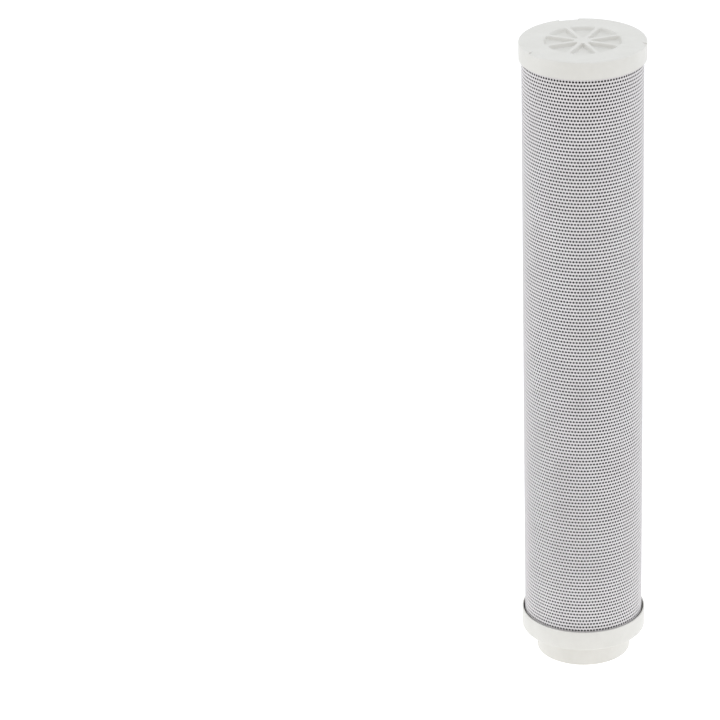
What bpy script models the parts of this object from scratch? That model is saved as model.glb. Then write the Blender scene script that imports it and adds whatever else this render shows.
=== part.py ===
"""Coreless pleated liquid filter element with two moulded end caps.

The element stands on its open neck, with its axis along +Z and the neck's end face at Z = 0.
The neck slides over a housing's outlet spigot and seals on it with the O-ring in its mouth.
Liquid passes inwards through the wrap and the pleats, and leaves through the neck.
"""
import math

import bmesh
import bpy
from mathutils import Vector

MM = 0.001
NAME = "pleated_filter_element"

# Overall size
HEIGHT = 413.2 * MM
CAP_RADIUS = 39.0 * MM
FLANGE_RADIUS = 39.1 * MM
CLEARANCE = 0.3 * MM
TURN_STEPS = 48
CUT_MARGIN = 2 * MM
MERGE_DISTANCE = 0.001 * MM

# Top end cap, closed
CAP_SIDE = 11.2 * MM
RIM_WALL = 0.8 * MM
CAP_ROOF = 2.5 * MM
RECESS_RADIUS = 24.0 * MM
RECESS_DEPTH = 2.2 * MM
RECESS_FLOOR = 2.0 * MM
TOP_COLLAR = 6.5 * MM
HUB_RADIUS = 4.6 * MM
RIB_COUNT = 8
RIB_WIDTH = 2.0 * MM
NOTCH_ANGLES = (103, 223, 343)
NOTCH_LENGTH = 12.2 * MM
NOTCH_WIDTH = 3.5 * MM
NOTCH_DEPTH = 1.0 * MM
EDGE_ROUND = 0.9 * MM

# Bottom end cap, open
NECK_HEIGHT = 15.5 * MM
NECK_RADIUS = 29.5 * MM
NECK_TAPER = 0.25 * MM
FLANGE_TOP = 28.4 * MM
FLANGE_PLATE = 2.8 * MM
MOUTH_RADIUS = 25.6 * MM
MOUTH_DEPTH = 12.3 * MM
COLLAR_RADIUS = 24.9 * MM
COLLAR_TOP = 25.2 * MM
COLLAR_WALL = 1.0 * MM
GROOVE_START = 0.8 * MM
GROOVE_END = 4.0 * MM
GROOVE_RADIUS = 28.0 * MM
RIM_ROUND = 0.3 * MM
FLANGE_ROUND = 1.2 * MM
NECK_FILLET = 0.8 * MM
LIP_ROUND = 0.4 * MM

# O-ring
RING_SECTION = 2.6 * MM
RING_SECTION_STEPS = 10

# Outer wrap, one rolled sheet whose inner end runs under its outer end
WRAP_RADIUS = 37.2 * MM
WRAP_SHEET = 0.3 * MM
WRAP_STEP = 3
LAP_AZIMUTH = 75
LAP_SWEEP = 15
LAP_GAP = 0.2 * MM
BOND_THICKNESS = 0.16 * MM

# Pleated pack
PLEATS = 60
PLEAT_INNER = 26.25 * MM
PLEAT_OUTER = 36.15 * MM
PACK_THICKNESS = 1.1 * MM
INNER_HALF_WIDTH = 0.65 * MM
OUTER_HALF_WIDTH = 0.95 * MM
SEAM_AZIMUTH = 90
SEAM_CUT = 0.96
SEAL_WIDTH = 0.44 * MM
SEAL_DEPTH = 4.6 * MM
SEAL_INSET = 1.0 * MM

# Layers from the upstream side inwards: name, thickness, colour, roughness, metallic
LAYER_GAP = 0.05 * MM
LAYERS = (
    ("upstream_support_mesh", 0.20 * MM, (0.030, 0.028, 0.026), 0.55, 0.6),
    ("prefilter_layer", 0.15 * MM, (0.72, 0.70, 0.66), 0.90, 0.0),
    ("filter_medium", 0.25 * MM, (0.78, 0.75, 0.66), 0.95, 0.0),
    ("downstream_scrim", 0.10 * MM, (0.66, 0.66, 0.64), 0.90, 0.0),
    ("downstream_support_mesh", 0.20 * MM, (0.075, 0.068, 0.060), 0.50, 0.6),
)

# Potting
POTTING_THICKNESS = 1.5 * MM

# Heights that follow from the caps
RIM_LOW = HEIGHT - CAP_SIDE
ROOF_LOW = HEIGHT - CAP_ROOF
DISC_LOW = HEIGHT - RECESS_DEPTH - RECESS_FLOOR
TOP_COLLAR_LOW = HEIGHT - TOP_COLLAR
TROUGH_FLOOR = NECK_HEIGHT + FLANGE_PLATE
TROUGH_INNER = COLLAR_RADIUS + COLLAR_WALL
TROUGH_OUTER = CAP_RADIUS - RIM_WALL
POTTING_LOW = TROUGH_FLOOR + CLEARANCE
POTTING_HIGH = ROOF_LOW - CLEARANCE
PACK_LOW = POTTING_LOW + POTTING_THICKNESS + CLEARANCE
PACK_HIGH = POTTING_HIGH - POTTING_THICKNESS - CLEARANCE


def clear_scene():
    for item in list(bpy.data.objects):
        bpy.data.objects.remove(item, do_unlink=True)


def new_collection(name):
    group = bpy.data.collections.new(name)
    bpy.context.scene.collection.children.link(group)
    return group


def add_object(name, mesh, collection):
    item = bpy.data.objects.new(name, mesh)
    collection.objects.link(item)
    return item


def paint(item, colour, roughness, metallic=0.0):
    """Give the object its own Principled material."""
    material = bpy.data.materials.new(item.name)
    material.use_nodes = True
    shader = material.node_tree.nodes["Principled BSDF"]
    shader.inputs["Base Color"].default_value = (*colour, 1.0)
    shader.inputs["Roughness"].default_value = roughness
    shader.inputs["Metallic"].default_value = metallic
    item.data.materials.append(material)


def on_circle(radius, degrees):
    angle = math.radians(degrees)
    return Vector((radius * math.cos(angle), radius * math.sin(angle)))


def rounded(corners, steps=2):
    """Points of an outline given as (x, y, fillet radius), with each fillet as an arc."""
    points = []
    count = len(corners)
    for index, (x, y, radius) in enumerate(corners):
        corner = Vector((x, y))
        if radius == 0:
            points.append(corner)
            continue
        before = (Vector(corners[index - 1][:2]) - corner).normalized()
        after = (Vector(corners[(index + 1) % count][:2]) - corner).normalized()
        half = before.angle(after) / 2
        centre = corner + (before + after).normalized() * radius / math.sin(half)
        start = corner + before * radius / math.tan(half) - centre
        end = corner + after * radius / math.tan(half) - centre
        for step in range(steps + 1):
            points.append(centre + start.lerp(end, step / steps).normalized() * radius)
    return points


def turned(name, profile, collection, closed=True):
    """Turn an (r, z) profile about Z; it runs down its outer side."""
    shape = bmesh.new()
    verts = [shape.verts.new((r, 0, z)) for r, z in profile]
    pairs = zip(verts, verts[1:] + verts[:1]) if closed else zip(verts, verts[1:])
    for first, second in pairs:
        shape.edges.new((first, second))
    mesh = bpy.data.meshes.new(name)
    shape.to_mesh(mesh)
    shape.free()
    item = add_object(name, mesh, collection)
    screw = item.modifiers.new("Turn", "SCREW")
    screw.axis = "Z"
    screw.angle = math.tau
    screw.steps = TURN_STEPS
    screw.render_steps = TURN_STEPS
    screw.use_merge_vertices = True
    screw.merge_threshold = MERGE_DISTANCE
    return item


def prism(name, outline, low, high, collection):
    """A flat outline extruded from low to high, as a mesh."""
    curve = bpy.data.curves.new(name, "CURVE")
    curve.dimensions = "2D"
    curve.fill_mode = "BOTH"
    curve.extrude = (high - low) / 2
    spline = curve.splines.new("POLY")
    spline.points.add(len(outline) - 1)
    for point, (x, y) in zip(spline.points, outline):
        point.co = (x, y, 0, 1)
    spline.use_cyclic_u = True
    blank = add_object(name + "_outline", curve, collection)
    blank.location.z = (high + low) / 2
    bpy.context.view_layer.update()
    graph = bpy.context.evaluated_depsgraph_get()
    mesh = bpy.data.meshes.new_from_object(blank.evaluated_get(graph))
    shape = bmesh.new()
    shape.from_mesh(mesh)
    bmesh.ops.remove_doubles(shape, verts=shape.verts, dist=MERGE_DISTANCE)
    bmesh.ops.recalc_face_normals(shape, faces=shape.faces)
    shape.to_mesh(mesh)
    shape.free()
    item = add_object(name, mesh, collection)
    item.matrix_world = blank.matrix_world
    bpy.data.objects.remove(blank, do_unlink=True)
    return item


def sheet(name, path, thickness, low, high, collection):
    """A sheet whose middle surface stands on an open path, from low to high."""
    shape = bmesh.new()
    bottom = [shape.verts.new((x, y, low)) for x, y in path]
    top = [shape.verts.new((x, y, high)) for x, y in path]
    for i in range(len(path) - 1):
        shape.faces.new((bottom[i], bottom[i + 1], top[i + 1], top[i]))
    mesh = bpy.data.meshes.new(name)
    shape.to_mesh(mesh)
    shape.free()
    item = add_object(name, mesh, collection)
    solid = item.modifiers.new("Thickness", "SOLIDIFY")
    solid.thickness = thickness
    solid.offset = 0
    solid.use_even_offset = True
    return item


def cut(item, cutter):
    cutter.hide_render = True
    cutter.display_type = "WIRE"
    boolean = item.modifiers.new(cutter.name, "BOOLEAN")
    boolean.operation = "DIFFERENCE"
    boolean.object = cutter


def smooth(item, degrees=35):
    item.data.shade_smooth()
    item.data.set_sharp_from_angle(angle=math.radians(degrees))


def apply_modifiers(item):
    """Replace the object's mesh by its evaluated one, so that it can be shaded by angle."""
    bpy.context.view_layer.update()
    graph = bpy.context.evaluated_depsgraph_get()
    mesh = bpy.data.meshes.new_from_object(item.evaluated_get(graph))
    item.modifiers.clear()
    item.data = mesh
    smooth(item)


def pocket_outline(azimuth):
    """One pocket between two straight ribs: two arcs joined by the ribs' sides."""
    half = 180 / RIB_COUNT
    outer = half - math.degrees(math.asin(RIB_WIDTH / 2 / RECESS_RADIUS))
    inner = half - math.degrees(math.asin(RIB_WIDTH / 2 / HUB_RADIUS))
    arc = [on_circle(RECESS_RADIUS, azimuth + outer * k / 3) for k in range(-3, 4)]
    return arc + [on_circle(HUB_RADIUS, azimuth + inner * k) for k in (1, -1)]


def notch_wedge(name, azimuth, cutters):
    """Wedge that takes a facet off the cap's top edge, sloping down towards the outside."""
    slope = NOTCH_DEPTH / NOTCH_WIDTH
    start = CAP_RADIUS - NOTCH_WIDTH
    outer = CAP_RADIUS + CUT_MARGIN
    inner = start - CUT_MARGIN
    above = HEIGHT + CUT_MARGIN
    outline = (
        (inner, above),
        (inner, HEIGHT + (start - inner) * slope),
        (outer, HEIGHT - (outer - start) * slope),
        (outer, above),
    )
    wedge = prism(name, outline, -NOTCH_LENGTH / 2, NOTCH_LENGTH / 2, cutters)
    wedge.rotation_euler = (math.radians(90), 0, math.radians(azimuth))
    return wedge


def top_end_cap(parts, cutters):
    profile = rounded((
        (0, HEIGHT, 0),
        (CAP_RADIUS, HEIGHT, EDGE_ROUND),
        (CAP_RADIUS, RIM_LOW, 0),
        (TROUGH_OUTER, RIM_LOW, 0),
        (TROUGH_OUTER, ROOF_LOW, 0),
        (TROUGH_INNER, ROOF_LOW, 0),
        (TROUGH_INNER, TOP_COLLAR_LOW, 0),
        (COLLAR_RADIUS, TOP_COLLAR_LOW, 0),
        (COLLAR_RADIUS, DISC_LOW, 0),
        (0, DISC_LOW, 0),
    ))
    cap = turned("top_end_cap", profile, parts, closed=False)
    above = HEIGHT + CUT_MARGIN
    for k in range(RIB_COUNT):
        outline = pocket_outline(360 / RIB_COUNT * k)
        cut(cap, prism(f"pocket_{k + 1}", outline, HEIGHT - RECESS_DEPTH, above, cutters))
    for k, azimuth in enumerate(NOTCH_ANGLES):
        cut(cap, notch_wedge(f"notch_{k + 1}", azimuth, cutters))
    apply_modifiers(cap)
    paint(cap, (0.74, 0.74, 0.72), 0.45)


def bottom_end_cap(parts):
    profile = rounded((
        (FLANGE_RADIUS, FLANGE_TOP, RIM_ROUND),
        (FLANGE_RADIUS, NECK_HEIGHT, FLANGE_ROUND),
        (NECK_RADIUS + NECK_TAPER, NECK_HEIGHT, NECK_FILLET),
        (NECK_RADIUS, 0, LIP_ROUND),
        (MOUTH_RADIUS, 0, 0),
        (MOUTH_RADIUS, GROOVE_START, 0),
        (GROOVE_RADIUS, GROOVE_START, 0),
        (GROOVE_RADIUS, GROOVE_END, 0),
        (MOUTH_RADIUS, GROOVE_END, 0),
        (MOUTH_RADIUS, MOUTH_DEPTH, 0),
        (COLLAR_RADIUS, MOUTH_DEPTH + MOUTH_RADIUS - COLLAR_RADIUS, 0),
        (COLLAR_RADIUS, COLLAR_TOP, 0),
        (TROUGH_INNER, COLLAR_TOP, 0),
        (TROUGH_INNER, TROUGH_FLOOR, 0),
        (TROUGH_OUTER, TROUGH_FLOOR, 0),
        (TROUGH_OUTER, FLANGE_TOP, 0),
    ))
    cap = turned("bottom_end_cap", profile, parts)
    apply_modifiers(cap)
    paint(cap, (0.76, 0.76, 0.73), 0.45)


def neck_o_ring(parts):
    """The ring lies in the mouth's groove, clear of its floor and sides."""
    half = RING_SECTION / 2
    centre = Vector((GROOVE_RADIUS - CLEARANCE - half, (GROOVE_START + GROOVE_END) / 2))
    step = -360 / RING_SECTION_STEPS
    profile = [centre + on_circle(half, 90 + step * k) for k in range(RING_SECTION_STEPS)]
    ring = turned("neck_o_ring", profile, parts)
    apply_modifiers(ring)
    paint(ring, (0.012, 0.012, 0.013), 0.5)


def outer_wrap(parts):
    """Path of the rolled sheet: inner end, a short jog outwards, then one full turn."""
    middle = WRAP_RADIUS - WRAP_SHEET / 2
    under = middle - WRAP_SHEET - LAP_GAP
    tucked = [on_circle(under, LAP_AZIMUTH + a) for a in range(-LAP_SWEEP, 1, WRAP_STEP)]
    turn = [on_circle(middle, LAP_AZIMUTH + a) for a in range(WRAP_STEP, 360, WRAP_STEP)]
    wrap = sheet("outer_wrap", tucked + turn, WRAP_SHEET, PACK_LOW, PACK_HIGH, parts)
    apply_modifiers(wrap)
    paint(wrap, (0.70, 0.68, 0.67), 0.45)


def wrap_seam_bond(parts):
    """Adhesive between the sheet's two ends."""
    radius = WRAP_RADIUS - WRAP_SHEET - LAP_GAP / 2
    sweep = range(-LAP_SWEEP + WRAP_STEP, -WRAP_STEP + 1, WRAP_STEP)
    path = [on_circle(radius, LAP_AZIMUTH + a) for a in sweep]
    bond = sheet("wrap_seam_bond", path, BOND_THICKNESS, PACK_LOW, PACK_HIGH, parts)
    apply_modifiers(bond)
    paint(bond, (0.80, 0.78, 0.68), 0.35)


def pleat_path():
    """Middle line of the whole pack, from one end of the band at the seam to the other."""
    inner = PLEAT_INNER + PACK_THICKNESS / 2
    outer = PLEAT_OUTER - PACK_THICKNESS / 2
    pitch = 360 / PLEATS
    points = []
    for k in range(PLEATS):
        azimuth = SEAM_AZIMUTH + pitch * k
        folds = (
            (azimuth, outer, OUTER_HALF_WIDTH),
            (azimuth + pitch / 2, inner, -INNER_HALF_WIDTH),
            (azimuth + pitch / 2, inner, INNER_HALF_WIDTH),
            (azimuth + pitch, outer, -OUTER_HALF_WIDTH),
        )
        for angle, distance, side in folds:
            along = on_circle(1, angle)
            points.append(along * distance + Vector((-along.y, along.x)) * side)
    points[0] = points[1].lerp(points[0], SEAM_CUT)
    points[-1] = points[-2].lerp(points[-1], SEAM_CUT)
    return points


def offset_path(path, distance):
    """The path moved to its right by distance, with mitred corners."""
    normals = []
    for first, second in zip(path, path[1:]):
        run = (second - first).normalized()
        normals.append(Vector((run.y, -run.x)))
    moved = []
    for point, before, after in zip(path, normals[:1] + normals, normals + normals[-1:]):
        moved.append(point + (before + after) * distance / (1 + before.dot(after)))
    return moved


def pleated_layers(parts):
    """Five layers folded together; the first lies on the upstream side."""
    path = pleat_path()
    position = PACK_THICKNESS / 2
    for name, thickness, colour, roughness, metallic in LAYERS:
        middle = offset_path(path, position - thickness / 2)
        layer = sheet(name, middle, thickness, PACK_LOW, PACK_HIGH, parts)
        paint(layer, colour, roughness, metallic)
        position -= thickness + LAYER_GAP


def pleat_side_seal(parts):
    """Adhesive bar between the band's two ends, where they stand face to face."""
    outer = PLEAT_OUTER - SEAL_INSET
    inner = outer - SEAL_DEPTH
    half = SEAL_WIDTH / 2
    outline = ((half, inner), (half, outer), (-half, outer), (-half, inner))
    seal = prism("pleat_side_seal", outline, PACK_LOW, PACK_HIGH, parts)
    paint(seal, (0.80, 0.76, 0.62), 0.4)


def potting(name, low, parts):
    """Cast adhesive ring in a cap's trough, against the pack's end."""
    high = low + POTTING_THICKNESS
    inner = TROUGH_INNER + CLEARANCE
    outer = TROUGH_OUTER - CLEARANCE
    ring = turned(name, ((outer, high), (outer, low), (inner, low), (inner, high)), parts)
    apply_modifiers(ring)
    paint(ring, (0.78, 0.74, 0.60), 0.35)


def build():
    clear_scene()
    parts = new_collection(NAME)
    cutters = new_collection("cutters")
    top_end_cap(parts, cutters)
    bottom_end_cap(parts)
    neck_o_ring(parts)
    outer_wrap(parts)
    wrap_seam_bond(parts)
    pleated_layers(parts)
    pleat_side_seal(parts)
    potting("top_potting", POTTING_HIGH - POTTING_THICKNESS, parts)
    potting("bottom_potting", POTTING_LOW, parts)


build()
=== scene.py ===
"""Looks of the pleated filter element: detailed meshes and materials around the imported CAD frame.

Everything is in metres, in the frame's own axes: the element stands on its open neck at Z = 0.
"""
import math
import random

import bpy
import numpy as np
from mathutils import Matrix, Vector

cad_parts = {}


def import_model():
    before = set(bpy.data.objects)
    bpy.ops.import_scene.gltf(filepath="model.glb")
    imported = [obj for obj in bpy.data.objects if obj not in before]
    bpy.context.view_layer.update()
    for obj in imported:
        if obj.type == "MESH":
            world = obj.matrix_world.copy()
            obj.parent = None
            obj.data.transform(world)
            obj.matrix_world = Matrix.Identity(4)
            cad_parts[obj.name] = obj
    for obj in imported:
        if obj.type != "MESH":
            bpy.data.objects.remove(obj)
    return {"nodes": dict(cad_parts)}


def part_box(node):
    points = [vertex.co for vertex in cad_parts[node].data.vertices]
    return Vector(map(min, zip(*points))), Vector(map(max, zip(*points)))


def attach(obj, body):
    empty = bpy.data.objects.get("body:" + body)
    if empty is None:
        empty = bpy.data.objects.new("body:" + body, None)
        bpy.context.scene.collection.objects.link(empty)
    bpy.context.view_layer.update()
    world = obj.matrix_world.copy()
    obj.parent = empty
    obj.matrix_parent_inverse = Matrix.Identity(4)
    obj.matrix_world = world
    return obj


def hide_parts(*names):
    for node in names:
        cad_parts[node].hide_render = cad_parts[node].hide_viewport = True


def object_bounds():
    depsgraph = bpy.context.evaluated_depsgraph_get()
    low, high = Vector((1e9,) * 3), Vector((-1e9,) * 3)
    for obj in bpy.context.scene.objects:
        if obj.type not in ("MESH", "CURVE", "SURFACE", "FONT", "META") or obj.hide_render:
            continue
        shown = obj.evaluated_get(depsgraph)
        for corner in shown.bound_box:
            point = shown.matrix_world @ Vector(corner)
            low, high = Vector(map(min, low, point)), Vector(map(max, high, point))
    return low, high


MM = 0.001
SHARP_DEGREES = 35

# Camera, floor and light
CAMERA_PLACE = Vector((0.0, -2.3615, 1.2867))
CAMERA_AIM = Vector((-0.1395, 0.0, 0.2009))
CAMERA_ROLL = math.radians(-1.47)
CAMERA_LENS = 207.8
FLOOR_SIZE = 60.0
WORLD_LIGHT = 1.0
# The floor glows: painted light, GLOW_NEAR round the element's foot falling to GLOW_FAR at
# GLOW_REACH, so the element casts almost no shadow on it.
GLOW_NEAR = 0.76
GLOW_FAR = 0.5
GLOW_REACH = 0.25

# Both caps
TURN_STEPS = 192
ARC_STEPS = 6
CLEARANCE = 0.3 * MM

# Closed cap
RIM_WALL = 0.8 * MM
CAP_ROOF = 2.5 * MM
RECESS_RADIUS = 24.0 * MM
RECESS_DEPTH = 2.2 * MM  # judged from renders
RECESS_FLOOR = 2.0 * MM
TOP_COLLAR = 6.5 * MM
HUB_RADIUS = 4.6 * MM
RIB_COUNT = 8
RIB_WIDTH = 2.0 * MM
WALL_RUN = 1.0 * MM
RIM_RUN = 1.7 * MM
PLAN_ROUND = 1.2 * MM
EDGE_ROUND = 0.9 * MM
NOTCH_ANGLES = (103, 223, 343)
NOTCH_LENGTH = 12.2 * MM
NOTCH_WIDTH = 3.5 * MM
NOTCH_DEPTH = 1.0 * MM

# Open cap
NECK_HEIGHT = 15.5 * MM
NECK_RADIUS = 29.5 * MM
NECK_TAPER = 0.25 * MM
FLANGE_PLATE = 2.8 * MM
MOUTH_RADIUS = 25.6 * MM
MOUTH_DEPTH = 12.3 * MM
COLLAR_RADIUS = 24.9 * MM
COLLAR_TOP = 25.2 * MM
COLLAR_WALL = 1.0 * MM
GROOVE_START = 0.8 * MM
GROOVE_END = 4.0 * MM
GROOVE_RADIUS = 28.0 * MM
RING_SECTION = 2.6 * MM

# Outer wrap
WRAP_RADIUS = 37.2 * MM
WRAP_SHEET = 0.3 * MM
LAP_AZIMUTH = 75
LAP_GAP = 0.2 * MM
TUCKED_STEPS = (-15, -12, -9, -6, -3, -1)
OPEN_STEPS = (0.5, 2.0, 4.0)
SHEET_END = 358.6
HOLE_PITCH = 3.0
HOLE_COLUMNS = 117
HOLE_DIAMETER = 1.52 * MM  # across the corners; set by the wrap's brightness, not measured
ROW_PITCH = 2.247 * MM
ROWS_PER_PANEL = 43
PANELS = 4

# Pleated pack
PLEATS = 60  # the photograph also allows 56
PLEAT_INNER = 26.25 * MM
PLEAT_OUTER = 36.15 * MM
PACK_THICKNESS = 1.1 * MM
INNER_HALF_WIDTH = 0.65 * MM
OUTER_HALF_WIDTH = 0.95 * MM
FOLD_STEPS = 6
SEAM_AZIMUTH = 90
SEAM_CUT = 0.96
TIP_WANDER = 0.28
TIP_SEED = 7
LAYER_GAP = 0.05 * MM
MESH_PITCH = 0.42 * MM


# ---------------------------------------------------------------- mesh helpers

def on_circle(radius, degrees):
    angle = math.radians(degrees)
    return Vector((radius * math.cos(angle), radius * math.sin(angle)))


def add_mesh(name, verts, faces, sharp_degrees=SHARP_DEGREES):
    mesh = bpy.data.meshes.new(name)
    mesh.from_pydata(verts, [], faces)
    mesh.validate()
    mesh.shade_smooth()
    mesh.set_sharp_from_angle(angle=math.radians(sharp_degrees))
    piece = bpy.data.objects.new(name, mesh)
    bpy.context.scene.collection.objects.link(piece)
    return piece


def rounded(corners, steps=ARC_STEPS):
    """Points of an outline given as (x, y, fillet radius), with each fillet as an arc."""
    points = []
    count = len(corners)
    for index, (x, y, radius) in enumerate(corners):
        corner = Vector((x, y))
        if radius == 0:
            points.append(corner)
            continue
        before = (Vector(corners[index - 1][:2]) - corner).normalized()
        after = (Vector(corners[(index + 1) % count][:2]) - corner).normalized()
        half = before.angle(after) / 2
        centre = corner + (before + after).normalized() * radius / math.sin(half)
        start = corner + before * radius / math.tan(half) - centre
        end = corner + after * radius / math.tan(half) - centre
        turn = start.angle_signed(end)
        for step in range(steps + 1):
            angle = -turn * step / steps
            spun = Vector((start.x * math.cos(angle) - start.y * math.sin(angle),
                           start.x * math.sin(angle) + start.y * math.cos(angle)))
            points.append(centre + spun)
    return points


def turned(name, profile):
    """Closed (r, z) profile, running down its outer side, turned about Z."""
    verts = []
    for step in range(TURN_STEPS):
        angle = math.tau * step / TURN_STEPS
        verts += [(r * math.cos(angle), r * math.sin(angle), z) for r, z in profile]
    count = len(profile)
    faces = []
    for step in range(TURN_STEPS):
        here = step * count
        there = (step + 1) % TURN_STEPS * count
        for k in range(count):
            after = (k + 1) % count
            faces.append((here + k, here + after, there + after, there + k))
    return add_mesh(name, verts, faces)


# ------------------------------------------------------------------- materials

def new_material(name, roughness, metallic=0.0, specular=0.5):
    material = bpy.data.materials.new(name)
    material.use_nodes = True
    shader = material.node_tree.nodes["Principled BSDF"]
    shader.inputs["Roughness"].default_value = roughness
    shader.inputs["Metallic"].default_value = metallic
    shader.inputs["Specular IOR Level"].default_value = specular
    return material, shader


def node(material, kind, **settings):
    made = material.node_tree.nodes.new(kind)
    for key, value in settings.items():
        if key in made.inputs:
            made.inputs[key].default_value = value
        else:
            setattr(made, key, value)
    return made


def link(material, source, target):
    material.node_tree.links.new(source, target)


def noise(material, coordinates, scale, detail=4.0, rough=0.55):
    made = node(material, "ShaderNodeTexNoise", Scale=scale, Detail=detail, Roughness=rough)
    link(material, coordinates, made.inputs["Vector"])
    return made.outputs["Fac"]


def ramp(material, factor, low, high, start=0.3, end=0.7):
    """Colours from low to high as factor goes from start to end."""
    made = node(material, "ShaderNodeValToRGB")
    made.color_ramp.elements[0].position = start
    made.color_ramp.elements[0].color = (*low, 1)
    made.color_ramp.elements[1].position = end
    made.color_ramp.elements[1].color = (*high, 1)
    link(material, factor, made.inputs["Fac"])
    return made.outputs["Color"]


def spread(material, factor, low, high, start=0.3, end=0.7):
    """A number from low to high as factor goes from start to end."""
    made = node(material, "ShaderNodeMapRange")
    for key, value in zip(("From Min", "From Max", "To Min", "To Max"), (start, end, low, high)):
        made.inputs[key].default_value = value
    link(material, factor, made.inputs["Value"])
    return made.outputs["Result"]


def add_bump(material, shader, height, depth, strength=1.0, before=None):
    made = node(material, "ShaderNodeBump", Strength=strength, Distance=depth)
    link(material, height, made.inputs["Height"])
    if before:
        link(material, before.outputs["Normal"], made.inputs["Normal"])
    link(material, made.outputs["Normal"], shader.inputs["Normal"])
    return made


def object_coordinates(material):
    return node(material, "ShaderNodeTexCoord").outputs["Object"]


def moulded_plastic(name, dark, light, roughness=(0.36, 0.50)):
    """White moulded plastic: faint clouding, a fine grain and slight unevenness from the mould."""
    material, shader = new_material(name, 0.45)
    place = object_coordinates(material)
    cloud = noise(material, place, 70.0, 5.0, 0.6)
    grain = noise(material, place, 2600.0, 2.0)
    waves = noise(material, place, 160.0, 2.0)
    link(material, ramp(material, cloud, dark, light), shader.inputs["Base Color"])
    link(material, spread(material, cloud, *roughness), shader.inputs["Roughness"])
    broad = add_bump(material, shader, waves, 0.25 * MM)
    add_bump(material, shader, grain, 0.02 * MM, before=broad)
    return material


def rubber(name):
    material, shader = new_material(name, 0.45)
    place = object_coordinates(material)
    grain = noise(material, place, 1800.0, 3.0)
    dust = noise(material, place, 300.0, 5.0)
    link(material, ramp(material, dust, (0.008, 0.008, 0.009), (0.022, 0.022, 0.024)),
         shader.inputs["Base Color"])
    link(material, spread(material, dust, 0.38, 0.6), shader.inputs["Roughness"])
    add_bump(material, shader, grain, 0.02 * MM)
    return material


def woven(name, wire_low, wire_high, gap, pitch, roughness, metallic=0.0):
    """A plain weave laid out by the piece's sheet coordinates, in metres, with wires at pitch."""
    material, shader = new_material(name, roughness, metallic)
    sheet = node(material, "ShaderNodeUVMap", uv_map="sheet").outputs["UV"]
    place = object_coordinates(material)
    split = node(material, "ShaderNodeSeparateXYZ")
    link(material, sheet, split.inputs["Vector"])
    waves = []
    for axis in ("X", "Y"):
        turn = node(material, "ShaderNodeMath", operation="MULTIPLY")
        turn.inputs[1].default_value = math.pi / pitch
        link(material, split.outputs[axis], turn.inputs[0])
        wave = node(material, "ShaderNodeMath", operation="SINE")
        link(material, turn.outputs["Value"], wave.inputs[0])
        size = node(material, "ShaderNodeMath", operation="ABSOLUTE")
        link(material, wave.outputs["Value"], size.inputs[0])
        waves.append((wave.outputs["Value"], size.outputs["Value"]))
    over = node(material, "ShaderNodeMath", operation="MULTIPLY")
    link(material, waves[0][0], over.inputs[0])
    link(material, waves[1][0], over.inputs[1])
    higher = node(material, "ShaderNodeMath", operation="MAXIMUM")
    link(material, waves[0][1], higher.inputs[0])
    link(material, waves[1][1], higher.inputs[1])
    height = node(material, "ShaderNodeMath", operation="MULTIPLY_ADD")
    height.inputs[1].default_value = 0.25
    link(material, over.outputs["Value"], height.inputs[0])
    link(material, higher.outputs["Value"], height.inputs[2])
    tone = ramp(material, noise(material, place, 220.0, 4.0), wire_low, wire_high)
    mix = node(material, "ShaderNodeMix", data_type="RGBA")
    link(material, spread(material, higher.outputs["Value"], 0.0, 1.0, 0.62, 0.86),
         mix.inputs["Factor"])
    # Painted shade: the openings between the wires get the dark gap colour in place of the sheet
    # behind them.
    mix.inputs["A"].default_value = (*gap, 1)
    link(material, tone, mix.inputs["B"])
    link(material, mix.outputs["Result"], shader.inputs["Base Color"])
    add_bump(material, shader, height.outputs["Value"], 0.08 * MM)
    return material


def fibrous(name, dark, light):
    """Matted fibres: streaky noise stretched both ways over the sheet."""
    material, shader = new_material(name, 0.92, specular=0.2)
    sheet = node(material, "ShaderNodeUVMap", uv_map="sheet").outputs["UV"]
    stretch = node(material, "ShaderNodeMapping")
    stretch.inputs["Scale"].default_value = (1.0, 0.22, 1.0)
    link(material, sheet, stretch.inputs["Vector"])
    fibres = noise(material, stretch.outputs["Vector"], 4200.0, 6.0, 0.7)
    cloud = noise(material, object_coordinates(material), 500.0, 4.0)
    blend = node(material, "ShaderNodeMath", operation="MULTIPLY_ADD")
    blend.inputs[1].default_value = 0.5
    link(material, cloud, blend.inputs[0])
    link(material, fibres, blend.inputs[2])
    tone = ramp(material, blend.outputs["Value"], dark, light, 0.55, 0.95)
    link(material, tone, shader.inputs["Base Color"])
    add_bump(material, shader, fibres, 0.05 * MM)
    return material


def cast_resin(name, dark, light):
    material, shader = new_material(name, 0.3)
    place = object_coordinates(material)
    cloud = noise(material, place, 180.0, 5.0)
    lumps = noise(material, place, 420.0, 2.0)
    link(material, ramp(material, cloud, dark, light), shader.inputs["Base Color"])
    link(material, spread(material, cloud, 0.22, 0.42), shader.inputs["Roughness"])
    add_bump(material, shader, lumps, 0.15 * MM)
    return material


def floor_material(name):
    material, shader = new_material(name, 0.9, specular=0.1)
    # The floor glows as well as reflecting. This is painted light, strongest round the element's
    # foot and fading beyond GLOW_REACH, so the element casts hardly any shadow on it.
    shader.inputs["Emission Color"].default_value = (1, 1, 1, 1)
    place = object_coordinates(material)
    distance = node(material, "ShaderNodeVectorMath", operation="LENGTH")
    link(material, place, distance.inputs[0])
    glow = spread(material, distance.outputs["Value"], GLOW_NEAR, GLOW_FAR, 0.03, GLOW_REACH)
    link(material, glow, shader.inputs["Emission Strength"])
    tone = ramp(material, noise(material, place, 3.0), (0.57, 0.57, 0.57), (0.60, 0.60, 0.60))
    link(material, tone, shader.inputs["Base Color"])
    return material


# ----------------------------------------------------------------------- caps

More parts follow.
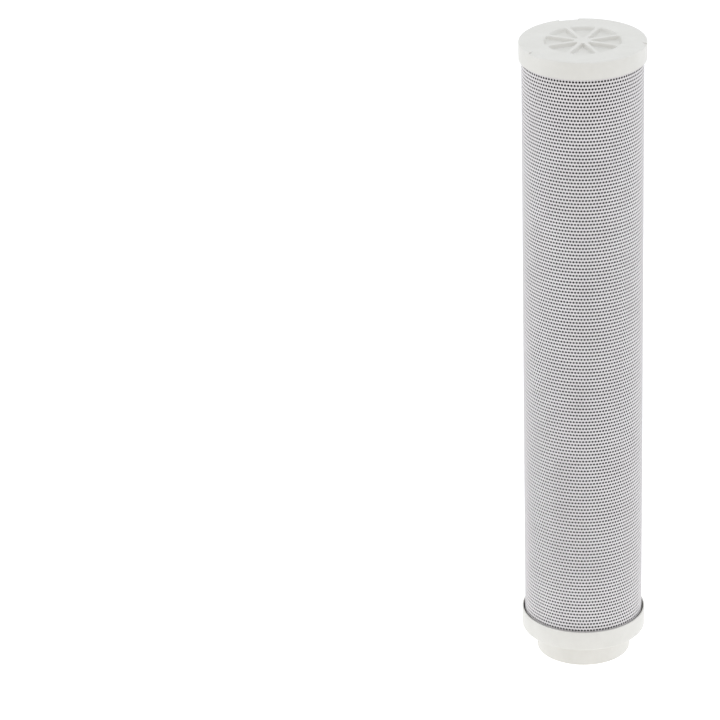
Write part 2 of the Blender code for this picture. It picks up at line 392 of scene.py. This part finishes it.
def rib_line_angles(radius):
    """Azimuths of the closed cap's mesh lines at a radius, in degrees.

    Lines follow the ribs' straight sides inside the recess and are evenly spread outside it.
    """
    half = 180 / RIB_COUNT
    side = RIB_WIDTH / 2
    foot = side + WALL_RUN
    across = [0, side * 0.6, side] + [side + WALL_RUN * k / 4 for k in (1, 2, 3, 4)]
    rest = 4
    room = radius * math.sin(math.radians(half)) * 0.95
    squeeze = min(1.0, room / foot)
    follow = [math.degrees(math.asin(min(1, a * squeeze / max(radius, 1e-9)))) for a in across]
    follow += [follow[-1] + (half - follow[-1]) * k / rest for k in range(1, rest + 1)]
    count = len(follow) - 1
    even = [half * k / count for k in range(count + 1)]
    share = min(1.0, max(0.0, (radius - RECESS_RADIUS - 1 * MM) / (4 * MM)))
    mixed = [f + (e - f) * share for f, e in zip(follow, even)]
    angles = []
    for rib in range(RIB_COUNT):
        centre = half + 2 * half * rib
        angles += [centre - a for a in mixed[:0:-1]]
        angles += [centre + a for a in mixed[:-1]]
    return angles


def smallest(a, b, softness):
    """The smaller of two lengths, with a rounded change from one to the other."""
    gap = max(softness - abs(a - b), 0) / softness
    return min(a, b) - gap * gap * softness / 4


def recess_depth(radius, degrees):
    """How far the closed cap's face lies below its rim at a point."""
    pocket = 360 / RIB_COUNT
    off = (degrees + pocket / 2) % pocket - pocket / 2
    to_rib = radius * math.sin(math.radians(pocket / 2 - abs(off))) - RIB_WIDTH / 2
    to_rim = (RECESS_RADIUS - radius) * WALL_RUN / RIM_RUN
    inside = smallest(to_rim, radius - HUB_RADIUS, PLAN_ROUND)
    inside = smallest(inside, to_rib, PLAN_ROUND)
    share = min(1.0, max(0.0, inside / WALL_RUN))
    return RECESS_DEPTH * share * share * (3 - 2 * share)


def closed_cap():
    low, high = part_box("top_end_cap")
    radius = high.x
    top = high.z
    trough_inner = COLLAR_RADIUS + COLLAR_WALL
    trough_outer = radius - RIM_WALL
    roof = top - CAP_ROOF
    disc = top - RECESS_DEPTH - RECESS_FLOOR
    collar_low = top - TOP_COLLAR
    quarter = [k / 4 for k in range(5)]
    face = [0.25 * HUB_RADIUS, 0.5 * HUB_RADIUS, 0.75 * HUB_RADIUS, 0.92 * HUB_RADIUS]
    face += [HUB_RADIUS + WALL_RUN * k for k in quarter]
    first = HUB_RADIUS + WALL_RUN
    last = RECESS_RADIUS - RIM_RUN
    face += [first + (last - first) * k / 14 for k in range(1, 14)]
    face += [last + RIM_RUN * k for k in quarter]
    face += [RECESS_RADIUS + (radius - EDGE_ROUND - RECESS_RADIUS) * k / 6 for k in range(1, 6)]
    rows = [(r, None) for r in face]
    rows += rounded((
        (radius - 2 * EDGE_ROUND, top, 0),
        (radius, top, EDGE_ROUND),
        (radius, low.z, 0.15 * MM),
        (trough_outer, low.z, 0.15 * MM),
        (trough_outer, roof, 0.4 * MM),
        (trough_inner, roof, 0.4 * MM),
        (trough_inner, collar_low, 0.3 * MM),
        (COLLAR_RADIUS, collar_low, 0.3 * MM),
        (COLLAR_RADIUS, disc, 0.4 * MM),
        (0, disc, 0),
    ))[1:-1]
    rows += [(COLLAR_RADIUS * k / 6, disc) for k in (5, 4, 3, 2, 1)]
    verts = []
    for r, z in rows:
        for degrees in rib_line_angles(r):
            x, y = on_circle(r, degrees)
            verts.append((x, y, top - recess_depth(r, degrees) if z is None else z))
    around = len(rib_line_angles(radius))
    faces = []
    for row in range(len(rows) - 1):
        for k in range(around):
            after = (k + 1) % around
            here = row * around
            there = here + around
            faces.append((here + k, there + k, there + after, here + after))
    start = len(verts)
    verts += [(0, 0, top), (0, 0, disc)]
    end = (len(rows) - 1) * around
    for k in range(around):
        after = (k + 1) % around
        faces.append((start, k, after))
        faces.append((start + 1, end + after, end + k))
    cap = add_mesh("closed_cap", verts, faces)
    cut_notches(cap, top, radius)
    return cap


def cut_notches(cap, top, radius):
    """Three facets in the edge of the cap's face, sloping down towards its side."""
    slope = NOTCH_DEPTH / NOTCH_WIDTH
    margin = 1 * MM
    start = radius - NOTCH_WIDTH
    ends = []
    for y in (-NOTCH_LENGTH / 2, NOTCH_LENGTH / 2):
        for x in (start - margin, radius + margin):
            ends += [(x, y, top - (x - start) * slope), (x, y, top + margin)]
    faces = [(0, 4, 6, 2), (1, 3, 7, 5), (0, 2, 3, 1), (4, 5, 7, 6), (0, 1, 5, 4), (2, 6, 7, 3)]
    for azimuth in NOTCH_ANGLES:
        cutter = add_mesh("notch_cutter", ends, faces)
        cutter.rotation_euler.z = math.radians(azimuth)
        boolean = cap.modifiers.new("Notch", "BOOLEAN")
        boolean.operation = "DIFFERENCE"
        boolean.object = cutter
        bpy.context.view_layer.update()
        graph = bpy.context.evaluated_depsgraph_get()
        mesh = bpy.data.meshes.new_from_object(cap.evaluated_get(graph))
        cap.modifiers.clear()
        cap.data = mesh
        bpy.data.objects.remove(cutter)
    cap.data.name = cap.name
    cap.data.shade_smooth()
    cap.data.set_sharp_from_angle(angle=math.radians(SHARP_DEGREES))


def open_cap():
    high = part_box("bottom_end_cap")[1]
    flange = high.x
    trough_floor = NECK_HEIGHT + FLANGE_PLATE
    trough_inner = COLLAR_RADIUS + COLLAR_WALL
    trough_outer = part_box("top_end_cap")[1].x - RIM_WALL
    profile = rounded((
        (flange, high.z, 0.35 * MM),
        (flange, NECK_HEIGHT, 1.3 * MM),
        (NECK_RADIUS + NECK_TAPER, NECK_HEIGHT, 0.9 * MM),
        (NECK_RADIUS, 0, 0.5 * MM),
        (MOUTH_RADIUS, 0, 0.3 * MM),
        (MOUTH_RADIUS, GROOVE_START, 0.15 * MM),
        (GROOVE_RADIUS, GROOVE_START, 0.3 * MM),
        (GROOVE_RADIUS, GROOVE_END, 0.3 * MM),
        (MOUTH_RADIUS, GROOVE_END, 0.2 * MM),
        (MOUTH_RADIUS, MOUTH_DEPTH, 0.3 * MM),
        (COLLAR_RADIUS, MOUTH_DEPTH + MOUTH_RADIUS - COLLAR_RADIUS, 0.3 * MM),
        (COLLAR_RADIUS, COLLAR_TOP, 0.3 * MM),
        (trough_inner, COLLAR_TOP, 0.3 * MM),
        (trough_inner, trough_floor, 0.4 * MM),
        (trough_outer, trough_floor, 0.4 * MM),
        (trough_outer, high.z, 0.2 * MM),
    ))
    return turned("open_cap", profile)


def o_ring():
    """Round section ring in the mouth's groove."""
    half = RING_SECTION / 2
    centre = Vector((GROOVE_RADIUS - CLEARANCE - half, (GROOVE_START + GROOVE_END) / 2))
    steps = 32
    profile = [centre + on_circle(half, 90 - 360 / steps * k) for k in range(steps)]
    return turned("o_ring", profile)


# ----------------------------------------------------------------- outer wrap

class Sheet:
    """Gathers the vertices and faces of a thin two-sided sheet wound round the Z axis.

    A point is given by its azimuth, the outer side's radius and its height, and stands for
    two vertices, one on each side of the sheet.
    """

    def __init__(self):
        self.verts = []
        self.spots = []
        self.outer = []
        self.edges = []

    def point(self, degrees, radius, z):
        for r in (radius, radius - WRAP_SHEET):
            x, y = on_circle(r, degrees)
            self.verts.append((x, y, z))
        self.spots.append((degrees, z))
        return len(self.spots) - 1

    def face(self, *points):
        """Points run anticlockwise as seen from outside."""
        self.outer.append(points)

    def edge(self, first, second):
        """A cut edge of the sheet; it runs as the face beside it does."""
        self.edges.append((first, second))

    def build(self, name):
        faces = [tuple(2 * p for p in points) for points in self.outer]
        faces += [tuple(2 * p + 1 for p in points[::-1]) for points in self.outer]
        walls = [(2 * b, 2 * a, 2 * a + 1, 2 * b + 1) for a, b in self.edges]
        piece = add_mesh(name, self.verts, faces + walls, 40)
        self.lay_out(piece.data, len(self.outer))
        return piece

    def lay_out(self, mesh, count):
        """Flat layout for texture maps: outer side on the left half, inner side on the right."""
        spots = np.array(self.spots)
        low = spots.min(axis=0)
        flat = (spots - low) / (spots.max(axis=0) - low)
        corners = np.empty(len(mesh.loops), np.int64)
        mesh.loops.foreach_get("vertex_index", corners)
        starts = np.empty(len(mesh.polygons), np.int64)
        mesh.polygons.foreach_get("loop_start", starts)
        inner = np.zeros(len(corners), bool)
        inner[starts[count]:starts[2 * count] if len(starts) > 2 * count else None] = True
        u = 0.005 + 0.485 * flat[corners // 2, 0] + 0.5 * inner
        v = 0.005 + 0.99 * flat[corners // 2, 1]
        layer = mesh.uv_layers.new(name="OFBake")
        layer.data.foreach_set("uv", np.stack([u, v], 1).astype(np.float32).ravel())


def wrap_panel(name, index, start, low, high):
    """One height band of the wrap, from low to high, with its rows of holes from start upwards."""
    sheet = Sheet()
    radius = WRAP_RADIUS
    under = radius - WRAP_SHEET - LAP_GAP
    arc = math.degrees(HOLE_DIAMETER / 2 / radius)
    ring = [on_circle(1, 22.5 + 45 * k) for k in range(8)]
    reach = HOLE_DIAMETER / 2 * ring[0].y
    rows = [start + ROW_PITCH * (r + 0.5) for r in range(ROWS_PER_PANEL)]
    first = LAP_AZIMUTH + 2 * HOLE_PITCH
    shift = [0.5 * HOLE_PITCH * ((r + index * ROWS_PER_PANEL) % 2) for r in range(ROWS_PER_PANEL)]

    holes = []
    for z, off in zip(rows, shift):
        row = []
        for c in range(HOLE_COLUMNS):
            middle = first + off + c * HOLE_PITCH
            row.append([sheet.point(middle + arc * e.x, radius, z + HOLE_DIAMETER / 2 * e.y)
                        for e in ring])
        holes.append(row)

    for row in holes:
        for hole in row:
            for k in range(8):
                sheet.edge(hole[(k + 1) % 8], hole[k])
        for left, right in zip(row, row[1:]):
            sheet.face(left[7], right[4], right[3], left[0])

    # Between one row and the next: the row above starts half a pitch to the right or to the left.
    for r in range(ROWS_PER_PANEL - 1):
        here, above = holes[r], holes[r + 1]
        to_right = shift[r] == 0
        for c, hole in enumerate(here):
            right = c if to_right else c + 1
            left = right - 1
            if right < HOLE_COLUMNS:
                sheet.face(hole[0], above[right][5], above[right][4], hole[1])
            if 0 <= left and right < HOLE_COLUMNS:
                sheet.face(hole[1], above[right][4], above[left][7], hole[2])
            if 0 <= left:
                sheet.face(hole[2], above[left][7], above[left][6], hole[3])
            if c + 1 < HOLE_COLUMNS and right < HOLE_COLUMNS:
                sheet.face(hole[0], here[c + 1][3], above[right][6], above[right][5])

    # Straight lower and upper edges.
    lower = [[sheet.point(sheet.spots[h[k]][0], radius, low) for k in (5, 6)] for h in holes[0]]
    upper = [[sheet.point(sheet.spots[h[k]][0], radius, high) for k in (2, 1)] for h in holes[-1]]
    for c in range(HOLE_COLUMNS):
        hole, base = holes[0][c], lower[c]
        sheet.face(base[0], base[1], hole[6], hole[5])
        sheet.edge(base[0], base[1])
        top_hole, crest = holes[-1][c], upper[c]
        sheet.face(top_hole[2], top_hole[1], crest[1], crest[0])
        sheet.edge(crest[1], crest[0])
        if c + 1 < HOLE_COLUMNS:
            after, next_base = holes[0][c + 1], lower[c + 1]
            sheet.face(base[1], next_base[0], after[5], after[4], hole[7], hole[6])
            sheet.edge(base[1], next_base[0])
            after, next_crest = holes[-1][c + 1], upper[c + 1]
            sheet.face(top_hole[1], top_hole[0], after[3], after[2], next_crest[0], crest[1])
            sheet.edge(next_crest[0], crest[1])

    # Plain strips beside the holes, as columns of points at each row's levels.
    levels = [low]
    for z in rows:
        levels += [z - reach, z + reach]
    levels.append(high)
    tucked = [(LAP_AZIMUTH + a, under) for a in TUCKED_STEPS]
    tucked += [(LAP_AZIMUTH + a, radius) for a in OPEN_STEPS]
    last = first + (HOLE_COLUMNS - 0.5) * HOLE_PITCH
    end = [(last + a, radius) for a in (-0.2, 0.9)]
    end.append((LAP_AZIMUTH + SHEET_END, radius))
    begin = [[sheet.point(a, rad, z) for z in levels] for a, rad in tucked]
    finish = [[sheet.point(a, rad, z) for z in levels] for a, rad in end]
    for columns in (begin, finish):
        for left, right in zip(columns, columns[1:]):
            for k in range(len(levels) - 1):
                sheet.face(left[k], right[k], right[k + 1], left[k + 1])
            sheet.edge(left[0], right[0])
            sheet.edge(right[-1], left[-1])
    for k in range(len(levels) - 1):
        sheet.edge(begin[0][k + 1], begin[0][k])
        sheet.edge(finish[-1][k], finish[-1][k + 1])

    # Joins between the strips and the first and last holes of each row.
    near, far = begin[-1], finish[0]
    for r in range(ROWS_PER_PANEL):
        a, b = 2 * r + 1, 2 * r + 2
        hole, other = holes[r][0], holes[r][-1]
        sheet.face(near[a], hole[4], hole[3], near[b])
        sheet.face(other[7], far[a], far[b], other[0])
        if r + 1 == ROWS_PER_PANEL:
            continue
        up, up_other = holes[r + 1][0], holes[r + 1][-1]
        if shift[r] == 0:
            sheet.face(near[b], hole[3], hole[2], near[b + 1])
            sheet.face(hole[2], hole[1], up[4], near[b + 1])
            sheet.face(far[b], up_other[6], up_other[5], other[0])
            sheet.face(far[b], far[b + 1], up_other[7], up_other[6])
        else:
            sheet.face(near[b], hole[3], up[6], up[5])
            sheet.face(near[b], up[5], up[4], near[b + 1])
            sheet.face(other[0], far[b], far[b + 1], other[1])
            sheet.face(other[1], far[b + 1], up_other[7], other[2])
    sheet.face(near[0], lower[0][0], holes[0][0][5], holes[0][0][4], near[1])
    sheet.edge(near[0], lower[0][0])
    sheet.face(lower[-1][1], far[0], far[1], holes[0][-1][7], holes[0][-1][6])
    sheet.edge(lower[-1][1], far[0])
    top_first, top_last = holes[-1][0], holes[-1][-1]
    sheet.face(near[-2], top_first[3], top_first[2], upper[0][0], near[-1])
    sheet.edge(upper[0][0], near[-1])
    sheet.face(top_last[0], far[-2], far[-1], upper[-1][1], top_last[1])
    sheet.edge(far[-1], upper[-1][1])
    return sheet.build(name)


def wrap_panels():
    low, high = (corner.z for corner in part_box("outer_wrap"))
    band = ROW_PITCH * ROWS_PER_PANEL
    base = (low + high - band * PANELS) / 2
    starts = [base + band * k for k in range(PANELS)]
    edges = [low] + starts[1:] + [high]
    return [wrap_panel(f"wrap_panel_{k + 1}", k, starts[k], edges[k], edges[k + 1])
            for k in range(PANELS)]


# --------------------------------------------------------------- pleated pack

def pleat_path():
    """Corners of the pack's middle line, with each fold's rounding, from seam to seam."""
    inner = PLEAT_INNER + PACK_THICKNESS / 2
    outer = PLEAT_OUTER - PACK_THICKNESS / 2
    pitch = 360 / PLEATS
    wander = random.Random(TIP_SEED)
    points = []
    for k in range(PLEATS):
        azimuth = SEAM_AZIMUTH + pitch * k
        tip = azimuth + pitch / 2 + wander.uniform(-TIP_WANDER, TIP_WANDER)
        folds = (
            (azimuth, outer, OUTER_HALF_WIDTH),
            (tip, inner, -INNER_HALF_WIDTH),
            (tip, inner, INNER_HALF_WIDTH),
            (azimuth + pitch, outer, -OUTER_HALF_WIDTH),
        )
        for angle, distance, side in folds:
            along = on_circle(1, angle)
            points.append(along * distance + Vector((-along.y, along.x)) * side)
    points[0] = points[1].lerp(points[0], SEAM_CUT)
    points[-1] = points[-2].lerp(points[-1], SEAM_CUT)
    return points


def offset_path(path, distance):
    """The path moved to its right by distance, with mitred corners."""
    normals = []
    for first, second in zip(path, path[1:]):
        run = (second - first).normalized()
        normals.append(Vector((run.y, -run.x)))
    moved = []
    for point, before, after in zip(path, normals[:1] + normals, normals + normals[-1:]):
        moved.append(point + (before + after) * distance / (1 + before.dot(after)))
    return moved


def round_corner(before, corner, after, radius):
    """Arc that replaces a corner, from its first tangent point to its second."""
    one = (before - corner).normalized()
    two = (after - corner).normalized()
    half = one.angle(two) / 2
    reach = radius / math.tan(half)
    centre = corner + (one + two).normalized() * radius / math.sin(half)
    start = corner + one * reach - centre
    end = corner + two * reach - centre
    return [centre + start.lerp(end, k / FOLD_STEPS).normalized() * radius
            for k in range(FOLD_STEPS + 1)]


def rounded_path(path, distance):
    """The path offset to its right by distance, with its folds rounded about fixed centres."""
    moved = offset_path(path, distance)
    points = [moved[0]]
    for k in range(1, len(path) - 1):
        inner_fold = k % 4 in (1, 2)
        base = (INNER_HALF_WIDTH if inner_fold else OUTER_HALF_WIDTH) * 0.9
        radius = base - distance if inner_fold else base + distance
        points += round_corner(moved[k - 1], moved[k], moved[k + 1], radius)
    points.append(moved[-1])
    return points


def pleated_layer(name, node_name, position, thickness):
    """One folded sheet; position is its outer face's distance from the pack's middle line."""
    low, high = (corner.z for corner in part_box(node_name))
    path = pleat_path()
    right = rounded_path(path, position)
    left = rounded_path(path, position - thickness)
    count = len(right)
    verts = []
    for z in (low, high):
        verts += [(x, y, z) for x, y in right]
        verts += [(x, y, z) for x, y in left]
    faces = []
    for k in range(count - 1):
        a, b = k, k + 1
        c, d = k + count, k + 1 + count
        up = 2 * count
        faces.append((a, b, b + up, a + up))
        faces.append((d, c, c + up, d + up))
        faces.append((b, a, c, d))
        faces.append((a + up, b + up, d + up, c + up))
    for k, flip in ((0, False), (count - 1, True)):
        ends = (k, k + 2 * count, k + 3 * count, k + count)
        faces.append(ends[::-1] if flip else ends)
    layer = add_mesh(name, verts, faces, 50)
    along = [0.0]
    for first, second in zip(right, right[1:]):
        along.append(along[-1] + (second - first).length)
    sheet = layer.data.uv_layers.new(name="sheet")
    for loop in layer.data.loops:
        index = loop.vertex_index % count
        sheet.data[loop.index].uv = (along[index], verts[loop.vertex_index][2])
    return layer


# ---------------------------------------------------------------------- stage

def stage(frame_low):
    half = FLOOR_SIZE / 2
    corners = [(-half, -half), (half, -half), (half, half), (-half, half)]
    floor = add_mesh("floor", [(x, y, frame_low.z) for x, y in corners], [(0, 1, 2, 3)])
    floor.data.materials.append(floor_material("glowing_floor"))

    world = bpy.data.worlds.new("studio")
    bpy.context.scene.world = world
    world.use_nodes = True
    background = world.node_tree.nodes["Background"]
    background.inputs["Color"].default_value = (1, 1, 1, 1)
    background.inputs["Strength"].default_value = WORLD_LIGHT

    for name, place, size, power, colour in (
        ("top_light", (0, -0.1, 3.2), 2.4, 10, (0.72, 0.95, 1.24)),
        ("left_light", (-2.4, 0.5, 0.9), 1.6, 8, (0.86, 0.98, 1.12)),
        ("right_light", (2.4, 0.5, 0.9), 1.6, 8, (0.84, 0.97, 1.16)),
    ):
        lamp = bpy.data.lights.new(name, "AREA")
        lamp.size = size
        lamp.energy = power
        lamp.color = colour
        light = bpy.data.objects.new(name, lamp)
        bpy.context.scene.collection.objects.link(light)
        light.visible_camera = False
        light.location = place
        aim = Vector((0, 0, 0.2)) - light.location
        light.rotation_euler = aim.to_track_quat("-Z", "Y").to_euler()
    bpy.context.scene.view_settings.view_transform = "Standard"


def camera():
    data = bpy.data.cameras.new("camera")
    data.lens = CAMERA_LENS
    item = bpy.data.objects.new("camera", data)
    bpy.context.scene.collection.objects.link(item)
    look = (CAMERA_AIM - CAMERA_PLACE).to_track_quat("-Z", "Y").to_matrix().to_4x4()
    roll = Matrix.Rotation(CAMERA_ROLL, 4, "Z")
    item.matrix_world = Matrix.Translation(CAMERA_PLACE) @ look @ roll
    bpy.context.scene.camera = item


# ----------------------------------------------------------------------- main

def dress(piece, material, slot, *nodes):
    """Paint a new piece, and tie it to the frame in place of its CAD nodes."""
    piece.data.materials.clear()
    piece.data.materials.append(material)
    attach(piece, "root")
    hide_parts(*nodes)


def repaint(frame, name, material):
    """A CAD node that stays as it is gets a detailed material."""
    item = frame["nodes"][name]
    item.data.materials.clear()
    item.data.materials.append(material)


def main():
    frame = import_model()
    cad_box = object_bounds()
    camera()
    stage(cad_box[0])

    white = moulded_plastic("cap_plastic", (0.627, 0.613, 0.574), (0.675, 0.661, 0.624))
    dress(closed_cap(), white, "cap_plastic", "top_end_cap")
    dress(open_cap(), white, "cap_plastic", "bottom_end_cap")
    dress(o_ring(), rubber("o_ring_rubber"), "o_ring_rubber", "neck_o_ring")

    film = moulded_plastic("wrap_sheet", (0.645, 0.620, 0.620), (0.695, 0.671, 0.672))
    for panel in wrap_panels():
        dress(panel, film, "wrap_sheet", "outer_wrap")

    # The third colour of each woven mesh is painted shade for the openings between its wires.
    layers = (
        ("upstream_mesh_pleats", "upstream_support_mesh", "upstream_mesh", 0.20 * MM,
         woven("upstream_mesh", (0.035, 0.033, 0.031), (0.075, 0.070, 0.066),
               (0.008, 0.008, 0.008), MESH_PITCH, 0.5)),
        ("prefilter_pleats", "prefilter_layer", "prefilter_felt", 0.15 * MM,
         fibrous("prefilter_felt", (0.62, 0.60, 0.56), (0.80, 0.78, 0.74))),
        ("medium_pleats", "filter_medium", "filter_fleece", 0.25 * MM,
         fibrous("filter_fleece", (0.70, 0.67, 0.58), (0.85, 0.82, 0.74))),
        ("scrim_pleats", "downstream_scrim", "scrim_cloth", 0.10 * MM,
         fibrous("scrim_cloth", (0.56, 0.56, 0.54), (0.74, 0.74, 0.72))),
        ("downstream_mesh_pleats", "downstream_support_mesh", "downstream_mesh", 0.20 * MM,
         woven("downstream_mesh", (0.150, 0.137, 0.124), (0.270, 0.250, 0.230),
               (0.030, 0.027, 0.025), MESH_PITCH, 0.45)),
    )
    position = PACK_THICKNESS / 2
    for name, node_name, slot_name, thickness, material in layers:
        layer = pleated_layer(name, node_name, position, thickness)
        dress(layer, material, slot_name, node_name)
        position -= thickness + LAYER_GAP

    adhesive = cast_resin("adhesive", (0.74, 0.70, 0.56), (0.84, 0.81, 0.70))
    resin = cast_resin("potting_resin", (0.72, 0.68, 0.52), (0.82, 0.78, 0.66))
    repaint(frame, "wrap_seam_bond", adhesive)
    repaint(frame, "pleat_side_seal", adhesive)
    repaint(frame, "top_potting", resin)
    repaint(frame, "bottom_potting", resin)


main()
